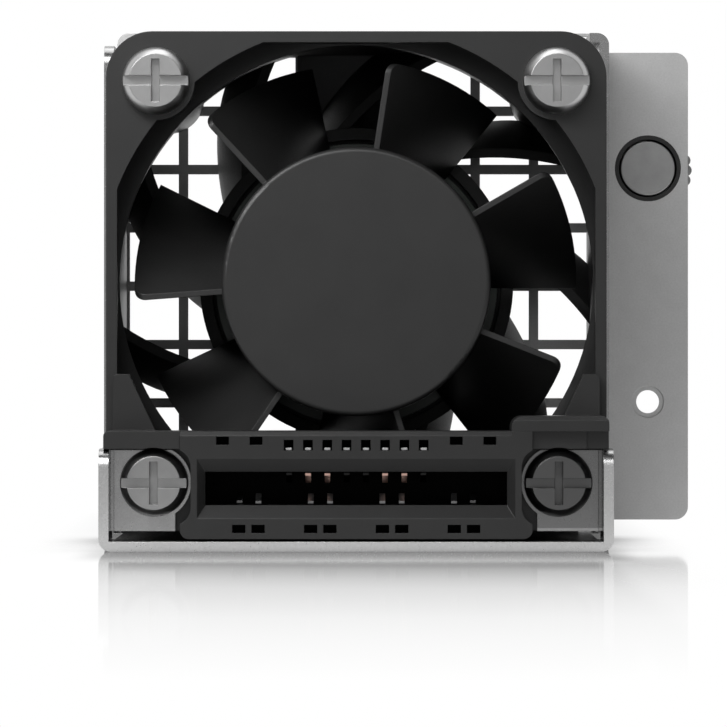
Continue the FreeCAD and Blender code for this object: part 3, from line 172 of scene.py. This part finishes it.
def makeFloor(s):
    half = s["size"] / 2
    corners = [(-half, -half, 0), (half, -half, 0), (half, half, 0), (-half, half, 0)]
    mesh = bpy.data.meshes.new("floorSheet")
    mesh.from_pydata(corners, [], [(0, 1, 2, 3)])
    floor = bpy.data.objects.new("floorSheet", mesh)
    scene.collection.objects.link(floor)
    material = bpy.data.materials.new("whiteAcrylic")
    tree = treeOf(material)
    rays = addNode(tree, "ShaderNodeLightPath").outputs
    place = addNode(tree, "ShaderNodeTexCoord").outputs["Object"]
    away = addNode(tree, "ShaderNodeVectorMath", {0: place, 1: s["centre"]}, operation="DISTANCE").outputs["Value"]
    across = addNode(tree, "ShaderNodeSeparateXYZ", {0: place}).outputs
    width = mathOf(tree, "ABSOLUTE", across["X"])

    # gloss, for camera rays only, so that it throws no light back
    fade = rampOf(tree, spanOf(tree, away, (0.0, s["glossReach"])), [(p, grey(v)) for p, v in s["gloss"]])
    side = softSpan(tree, across["X"], s["side"], (1.0, 1 - s["sideLoss"]))
    back = softSpan(tree, across["Y"], s["glossBack"], (1.0, s["glossBackShare"]))
    gloss = productOf(tree, fade, side, back, rays["Is Camera Ray"])

    # shade: where the module stands on the sheet, and just before the tray
    corner = addNode(tree, "ShaderNodeAmbientOcclusion", {"Distance": s["contactReach"]}, samples=16)
    contact = spanOf(tree, corner.outputs["AO"], s["contactSky"], (s["contactTone"], 1.0))
    ahead = softSpan(tree, across["Y"], s["underAhead"])
    abreast = softSpan(tree, width, s["underAbreast"])
    behind = softSpan(tree, across["Y"], s["underBehind"])
    deep = productOf(tree, ahead, abreast, behind, rays["Is Camera Ray"])
    shade = productOf(tree, contact, spanOf(tree, deep, (0.0, 1.0), (1.0, 1 - s["underDepth"])))

    # brightness: glosses see the front of the floor dimmed, and all that is far off or beside is white
    dim = softSpan(tree, across["Y"], s["mirrorAhead"], (0.0, 1 - s["mirrorFront"]))
    whiteness = mathOf(tree, "SUBTRACT", 1.0, productOf(tree, rays["Is Glossy Ray"], dim))
    lift = productOf(tree, whiteSeen(tree), shade, s["lift"], whiteness)
    far = softSpan(tree, away, s["white"])
    beside = softSpan(tree, width, s["beside"])
    farSeen = productOf(tree, whiteSeen(tree), mathOf(tree, "MAXIMUM", far, beside))

    matt = addNode(tree, "ShaderNodeBsdfDiffuse", {"Color": productOf(tree, shade, s["tone"])})
    glow = addNode(tree, "ShaderNodeEmission", {"Strength": lift})
    body = addNode(tree, "ShaderNodeAddShader", {0: matt.outputs[0], 1: glow.outputs[0]})
    white = addNode(tree, "ShaderNodeEmission", {"Strength": whiteness})
    sheet = addNode(tree, "ShaderNodeMixShader", {0: farSeen, 1: body.outputs[0], 2: white.outputs[0]})
    shine = addNode(tree, "ShaderNodeBsdfGlossy", {"Color": (1, 1, 1, 1), "Roughness": s["roughness"]})
    mix = addNode(tree, "ShaderNodeMixShader", {0: gloss, 1: sheet.outputs[0], 2: shine.outputs[0]})
    addNode(tree, "ShaderNodeOutputMaterial", {"Surface": mix.outputs[0]})
    mesh.materials.append(material)


makeFloor(floorSettings)


# studio: a white room behind, a dim one in front, two lamps above and before the module and one above it

studioSettings = {
    "fill": (0.06, 0.20),  # what matt surfaces get from the front and from the back
    "fillTurn": (0.1, 0.7),  # how far to the back a direction points where the fill changes
    "mirrored": [(0.0, 0.50), (0.08, 0.50), (0.2, 0.08), (0.45, 0.08), (0.65, 1.0)],  # front to back, for glosses
    "lamps": [
        # name, place, target, width, height, watts
        ("sideBox", (-0.060, -0.090, 0.110), (0, 0, 0.022), 0.18, 0.06, 0.145),
        ("keyBox", (-0.066, -0.085, 0.108), (0, 0, 0.022), 0.07, 0.025, 0.050),
        ("overBox", (-0.020, 0.035, 0.170), (0, 0.010, 0.022), 0.14, 0.08, 0.060),
    ],
}


def makeStudio(s):
    world = bpy.data.worlds.new("studioRoom")
    scene.world = world
    tree = treeOf(world)
    rays = addNode(tree, "ShaderNodeLightPath").outputs
    seen = mathOf(tree, "MAXIMUM", rays["Is Camera Ray"], rays["Is Transmission Ray"])
    direction = addNode(tree, "ShaderNodeTexCoord").outputs["Generated"]
    along = addNode(tree, "ShaderNodeSeparateXYZ", {0: direction}).outputs["Y"]
    card = rampOf(tree, spanOf(tree, along, (-1.0, 1.0)), [(p, grey(v)) for p, v in s["mirrored"]])
    soft = spanOf(tree, along, s["fillTurn"], s["fill"])
    inputs = {"Factor": rays["Is Glossy Ray"], 2: soft, 3: card}
    mirrored = addNode(tree, "ShaderNodeMix", inputs, data_type="FLOAT").outputs[0]
    level = addNode(tree, "ShaderNodeMix", {"Factor": seen, 2: mirrored, 3: 1.0}, data_type="FLOAT").outputs[0]
    back = addNode(tree, "ShaderNodeBackground", {"Color": (1, 1, 1, 1), "Strength": level})
    addNode(tree, "ShaderNodeOutputWorld", {"Surface": back.outputs[0]})
    for name, place, target, width, height, watts in s["lamps"]:
        data = bpy.data.lights.new(name, "AREA")
        data.shape = "RECTANGLE"
        data.size = width
        data.size_y = height
        data.energy = watts
        lamp = bpy.data.objects.new(name, data)
        scene.collection.objects.link(lamp)
        lamp.location = place
        aim = np.array(target) - np.array(place)
        tilt = math.acos(-aim[2] / np.linalg.norm(aim))
        lamp.rotation_euler = (tilt, 0, math.atan2(aim[1], aim[0]) - math.pi / 2)
        lamp.visible_camera = False


makeStudio(studioSettings)
print("floor and studio set")


# finishes: every one varies in tone, gloss and relief over the piece's own coordinates
# tones and rough: lowest and highest; cloud and grain: scales of the slow and the fine noise
# height: depth of the grain in metres; edge: radius that edges are rounded to; speck: sparkle of a plating
# boxes of painted light: each one's flat tone is painted shade or a painted highlight, with a metal share where it
# is given

finishes = {
    "trayZinc": dict(
        tones=(0.35, 0.41), metal=1.0, rough=(0.20, 0.28), grain=5200, height=4e-7, edge=7e-5, speck=0.03,
        # the tray's front edge lighter: partly bare sheared steel, partly a painted highlight
        paintedLightZones=[dict(centre=(0, -0.0069, 0.02), half=(0.05, 0.0004, 0.05), tone=0.66),
               # painted shade: the right tab darker
               dict(centre=(0.0155, -0.0035, 0.008), half=(0.0044, 0.0006, 0.0062), tone=0.21)]),
    "panelZinc": dict(
        tones=(0.535, 0.565), cloud=700, metal=1.0, rough=(0.48, 0.58), grain=6500, height=2.5e-6, edge=7e-5,
        speck=0.07),
    "framePlastic": dict(tones=(0.017, 0.021), cloud=260, rough=(0.38, 0.46), height=1.5e-6),
    # painted shade: the frame's plastic made darker on the vane ring, for the shade inside the duct
    "vanePlasticPaintedShade": dict(
        tones=(0.011, 0.014), cloud=260, rough=(0.48, 0.58), height=1.5e-6, gloss=0.3,
        # painted light: a lighter patch on the front of the lead web, where lamp light doesn't reach
        paintedLightZones=[dict(centre=(-0.001, 0.0262, 0.0382), half=(0.006, 0.0003, 0.0035), tone=0.16)]),
    "impellerPlastic": dict(tones=(0.021, 0.027), cloud=220, rough=(0.36, 0.44), grain=8000, height=1.2e-6),
    "carrierPlastic": dict(
        tones=(0.019, 0.023), cloud=300, rough=(0.34, 0.42), height=1.5e-6,
        # painted shade: the inside of the connector's mouth made black; the metal share with a near-black tone also
        # takes away its gloss
        paintedLightZones=[dict(centre=(0, -0.0029, 0.00528), half=(0.01195, 0.00279, 0.00385), tone=0.002, metal=1.0)]),
    "insulatorPlastic": dict(tones=(0.66, 0.74), cloud=300, rough=(0.45, 0.55), grain=6000, height=2e-6, gloss=0.4),
    "plainSteel": dict(tones=(0.46, 0.56), metal=1.0, rough=(0.28, 0.42), grain=6000, height=2e-6),
    "bearingSteel": dict(tones=(0.62, 0.70), cloud=700, metal=1.0, rough=(0.12, 0.2), grain=9000, height=5e-7),
    "springSteel": dict(tones=(0.50, 0.62), cloud=900, metal=1.0, rough=(0.25, 0.35), height=1e-6),
    "screwNickel": dict(tones=(0.44, 0.50), cloud=600, metal=1.0, rough=(0.28, 0.36), grain=9000, height=4e-7),
    # painted shade: the lower screws' steel made darker than the upper screws', as they sit in recessed pockets
    "screwPaintedShade": dict(
        tones=(0.32, 0.38), cloud=600, metal=1.0, rough=(0.30, 0.38), grain=9000, height=4e-7,
        # painted shade: the lower right screw darker still
        paintedLightZones=[dict(centre=(0.016, 0.0, 0.007), half=(0.006, 0.020, 0.006), tone=0.12)]),
    "nutSteel": dict(tones=(0.055, 0.075), metal=1.0, rough=(0.34, 0.44), grain=6000, height=2e-6),
    "knobMetal": dict(tones=(0.32, 0.39), metal=1.0, rough=(0.34, 0.46), height=3e-6),
    "blackOxide": dict(tones=(0.035, 0.05), metal=0.6, rough=(0.35, 0.48), height=2e-6),
    "ferrite": dict(tones=(0.06, 0.10), cloud=900, rough=(0.6, 0.75), grain=5000, height=8e-6, gloss=0.4),
    "turnedBrass": dict(tones=(0.62, 0.74), metal=1.0, rough=(0.22, 0.34), height=1e-6, tint=(1.0, 0.78, 0.42)),
    "copperLeaf": dict(
        tones=(0.72, 0.84), cloud=900, metal=1.0, rough=(0.30, 0.42), height=1e-6, tint=(1.0, 0.66, 0.56), edge=4e-5,
        # painted shade: the contacts inside the connector's mouth made near black
        paintedLightZones=[dict(centre=(0, -0.0021, 0.0055), half=(0.010, 0.0021, 0.0030), tone=0.03)]),
    "tinLeaf": dict(tones=(0.16, 0.22), cloud=900, metal=1.0, rough=(0.30, 0.42), height=1e-6, edge=4e-5),
    "tinTail": dict(tones=(0.62, 0.74), cloud=900, metal=1.0, rough=(0.30, 0.42), height=6e-7, edge=3e-5),
    "solderMask": dict(
        tones=(0.8, 1.0), cloud=700, rough=(0.28, 0.38), grain=5000, height=2e-6, gloss=0.5,
        tint=(0.008, 0.021, 0.012)),
}

noiseSpan = (0.3, 0.7)  # the noises stay within this for most of a surface


def insideBox(tree, place, centre, half):  # 1 where the place is inside the box, else 0
    away = addNode(tree, "ShaderNodeVectorMath", {0: place, 1: centre}, operation="SUBTRACT")
    size = addNode(tree, "ShaderNodeVectorMath", {0: away.outputs[0]}, operation="ABSOLUTE")
    share = addNode(tree, "ShaderNodeVectorMath", {0: size.outputs[0], 1: half}, operation="DIVIDE")
    parts = addNode(tree, "ShaderNodeSeparateXYZ", {0: share.outputs[0]}).outputs
    wide = mathOf(tree, "MAXIMUM", parts["X"], parts["Y"])
    return mathOf(tree, "LESS_THAN", mathOf(tree, "MAXIMUM", wide, parts["Z"]), 1.0)


def makeFinish(name, tones, rough, height, cloud=500, metal=0.0, grain=7000, gloss=0.5, tint=(1, 1, 1), paintedLightZones=(),
               edge=1.0e-4, speck=0.0):
    material = bpy.data.materials.new(name)
    tree = treeOf(material)
    place = addNode(tree, "ShaderNodeTexCoord").outputs["Object"]
    clouds = addNode(tree, "ShaderNodeTexNoise", {"Vector": place, "Scale": cloud, "Detail": 4.0, "Roughness": 0.55})
    grains = addNode(tree, "ShaderNodeTexNoise", {"Vector": place, "Scale": grain, "Detail": 2.0}).outputs["Fac"]
    dark, light = (tuple(tone * c for c in tint) for tone in tones)
    colour = rampOf(tree, clouds.outputs["Fac"], list(zip(noiseSpan, (dark, light))))
    if speck:
        spots = spanOf(tree, grains, noiseSpan, (1 - speck, 1 + speck))
        colour = addNode(tree, "ShaderNodeVectorMath", {0: colour, 1: spots}, operation="MULTIPLY").outputs[0]
    # painted light: inside each box the colour becomes the box's flat tone, which stands in for shade or light there
    for zone in paintedLightZones:
        inside = insideBox(tree, place, zone["centre"], zone["half"])
        inputs = {"Factor": inside, 6: colour, 7: (*grey(zone["tone"]), 1)}
        colour = addNode(tree, "ShaderNodeMix", inputs, data_type="RGBA").outputs[2]
        if "metal" in zone:
            metal = spanOf(tree, inside, (0.0, 1.0), (metal, zone["metal"]))
    rounded = addNode(tree, "ShaderNodeBevel", {"Radius": edge}, samples=4)
    relief = addNode(tree, "ShaderNodeBump", {"Height": grains, "Distance": height, "Strength": 1.0,
                                              "Normal": rounded.outputs["Normal"]})
    shader = addNode(tree, "ShaderNodeBsdfPrincipled", {
        "Base Color": colour, "Metallic": metal, "Roughness": spanOf(tree, grains, noiseSpan, rough),
        "Specular IOR Level": gloss, "Normal": relief.outputs["Normal"]})
    addNode(tree, "ShaderNodeOutputMaterial", {"Surface": shader.outputs[0]})
    return material


made = {name: makeFinish(name, **settings) for name, settings in finishes.items()}

wearing = {
    "base_tray": "trayZinc", "face_panel": "panelZinc", "fan_frame": "framePlastic",
    "vane_ring": "vanePlasticPaintedShade", "impeller": "impellerPlastic",
    "rotor_yoke": "plainSteel", "rotor_magnet": "ferrite", "shaft_bush": "turnedBrass",
    "rotor_shaft": "bearingSteel", "shaft_clip": "plainSteel", "bearing_inner_races": "bearingSteel",
    "bearing_tube": "turnedBrass", "bearing_outer_races": "bearingSteel", "bearing_shields": "plainSteel",
    "bearing_balls": "bearingSteel", "preload_spring": "springSteel", "stator_core": "plainSteel",
    "stator_insulators": "insulatorPlastic", "coil_windings": "copperLeaf", "motor_board": "solderMask",
    "board_parts": "framePlastic", "upper_screws": "screwNickel", "lower_screws": "screwPaintedShade",
    "clinch_nuts": "nutSteel", "connector_carrier": "carrierPlastic", "connector_housing": "carrierPlastic",
    "upper_contacts": "copperLeaf", "lower_contacts": "tinLeaf", "thumbscrew_ferrule": "blackOxide",
    "thumbscrew_knob": "knobMetal", "thumbscrew_shank": "knobMetal", "thumbscrew_washer": "plainSteel",
    "thumbscrew_spring": "springSteel",
}


def dress(node, finish):
    mesh = nodes[node].data
    if not mesh.materials:
        mesh.materials.append(None)
    for number in range(len(mesh.materials)):
        mesh.materials[number] = made[finish]


for node, finish in wearing.items():
    dress(node, finish)
print("dressed", len(wearing), "nodes")


# new pieces: every mesh is a stack of rings, worked out with numpy and closed at both ends

def ringMesh(name, rings, finish, body):  # rings: array (ring, point, xyz)
    count, around = rings.shape[:2]
    base = np.arange(count - 1)[:, None] * around
    first = base + np.arange(around)[None, :]
    after = base + (np.arange(around)[None, :] + 1) % around
    quads = np.stack([first, after, after + around, first + around], axis=-1).reshape(-1, 4)
    caps = [list(range(around))[::-1], list(range((count - 1) * around, count * around))]
    mesh = bpy.data.meshes.new(name)
    mesh.from_pydata(rings.reshape(-1, 3).tolist(), [], quads.tolist() + caps)
    mesh.polygons.foreach_set("use_smooth", [True] * len(quads) + [False, False])
    mesh.materials.append(made[finish])
    mesh.update()
    piece = bpy.data.objects.new(name, mesh)
    scene.collection.objects.link(piece)
    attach(piece, body)
    return piece


sillSettings = {
    "pitch": 0.00152,
    "count": 8,
    "width": 0.00056,
    "height": 0.00022,
    "front": -0.0061,
    "rear": -0.0046,
    "floor": 0.00799,
    "corner": 0.00006,
    "around": 20,
    "squareness": 0.35,  # the superellipse's power; 1 is an ellipse, 0 a rectangle
    "nose": [(0.0, 0.80), (0.3, 0.95), (1.0, 1.0)],  # share of the corner's depth, and of the outline's size
}


def makeSills(s):  # a bar in each small window: its outline is a superellipse, carried back from a rounded nose
    turn = np.linspace(0, 2 * np.pi, s["around"], endpoint=False) + np.pi / s["around"]
    wide, high = s["width"] / 2, s["height"] / 2
    across = wide * np.sign(np.cos(turn)) * np.abs(np.cos(turn)) ** s["squareness"]
    up = high * np.sign(np.sin(turn)) * np.abs(np.sin(turn)) ** s["squareness"]
    depth = np.array([s["front"] + d * s["corner"] for d, _ in s["nose"]] + [s["rear"]])[:, None]
    share = np.array([size for _, size in s["nose"]] + [1.0])[:, None]
    for number in range(s["count"]):
        centre = s["pitch"] * (number - (s["count"] - 1) / 2)
        rings = np.stack([
            centre - share * across,
            np.broadcast_to(depth, (len(depth), s["around"])),
            s["floor"] + high + share * up], axis=-1)
        ringMesh("contactTail" + str(number + 1), rings, "tinTail", "module")


makeSills(sillSettings)
print("contact tails made")


shankSettings = {
    "pitch": 0.0008,
    "threadDepth": 0.00038,
    "threadLength": 0.0044,
    "chamfer": 0.00012,
    "flank": 2.4,  # the fall over a whole pitch, as a share of the depth
    "crest": 0.1,  # share of the depth that is cut off at the crest
    "fade": (1.0, 1.2),  # pitches over which the thread starts and runs out
    "shoulder": 0.0002,
    "around": 96,
    "perPitch": 14,
}


def makeShank(s):  # radius = full radius less the thread depth times a cut saw wave of turn and travel
    lo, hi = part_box("thumbscrew_shank")
    radius, centreX, centreZ = (hi[0] - lo[0]) / 2, (lo[0] + hi[0]) / 2, (lo[2] + hi[2]) / 2
    turn = np.linspace(0, 2 * np.pi, s["around"], endpoint=False)
    steps = int(round(s["threadLength"] / s["pitch"] * s["perPitch"]))
    travel = np.linspace(s["chamfer"], s["threadLength"], steps)
    phase = (travel[:, None] / s["pitch"] - turn[None, :] / (2 * np.pi)) % 1.0
    groove = np.clip(np.abs(phase - 0.5) * s["flank"] - s["crest"], 0, 1)  # 0 on the crest, 1 at the root
    start, runOut = s["fade"]
    fadeIn = np.clip((travel - s["chamfer"]) / (start * s["pitch"]), 0, 1)[:, None]
    fadeOut = np.clip((s["threadLength"] - travel) / (runOut * s["pitch"]), 0, 1)[:, None]
    threaded = radius - s["threadDepth"] * groove * fadeIn * fadeOut
    length = hi[1] - lo[1]
    rest = [s["threadLength"] + s["shoulder"], length - s["chamfer"], length]
    travel = np.concatenate([[0.0], travel, rest])
    full = np.full(s["around"], radius)
    radii = np.vstack([full - s["chamfer"], threaded, full, full, full - s["chamfer"]])
    rings = np.stack([
        centreX + radii * np.cos(turn),
        np.broadcast_to((lo[1] + travel)[:, None], radii.shape),
        centreZ - radii * np.sin(turn)], axis=-1)
    shank = ringMesh("threadedShank", rings, "knobMetal", "thumbscrew")
    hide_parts("thumbscrew_shank")


makeShank(shankSettings)
print("threaded shank made")


springSettings = {
    "wire": 0.0004,
    "turns": 5,
    "closed": 0.75,  # turns at each end that lie flat
    "travel": 0.0038,
    "around": 14,
    "perTurn": 40,
}


def makeReturnSpring(s):  # a round wire along a helix whose ends lie flat
    lo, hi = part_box("thumbscrew_spring")
    wire = s["wire"] / 2
    radius, centreX, centreZ = (hi[0] - lo[0]) / 2 - wire, (lo[0] + hi[0]) / 2, (lo[2] + hi[2]) / 2
    length = hi[1] - lo[1]
    turns = np.linspace(0, s["turns"], s["turns"] * s["perTurn"] + 1)
    rise, flat = length - s["wire"], s["closed"] * s["wire"]
    travel = lo[1] + wire + np.interp(turns, [0, s["closed"], s["turns"] - s["closed"], s["turns"]],
                                      [0, flat, rise - flat, rise])
    angle = 2 * np.pi * turns
    radial = np.stack([np.cos(angle), np.zeros_like(angle), -np.sin(angle)], axis=-1)
    middle = np.stack([centreX + radius * radial[:, 0], travel, centreZ + radius * radial[:, 2]], axis=-1)
    along = np.gradient(middle, axis=0)
    along /= np.linalg.norm(along, axis=1, keepdims=True)
    side = np.cross(along, radial)
    around = np.linspace(0, 2 * np.pi, s["around"], endpoint=False)[None, :, None]
    rings = middle[:, None] + wire * (np.cos(around) * radial[:, None] + np.sin(around) * side[:, None])
    spring = ringMesh("returnSpring", rings, "springSteel", "module")
    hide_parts("thumbscrew_spring")
    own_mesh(spring)


makeReturnSpring(springSettings)
print("return spring made")
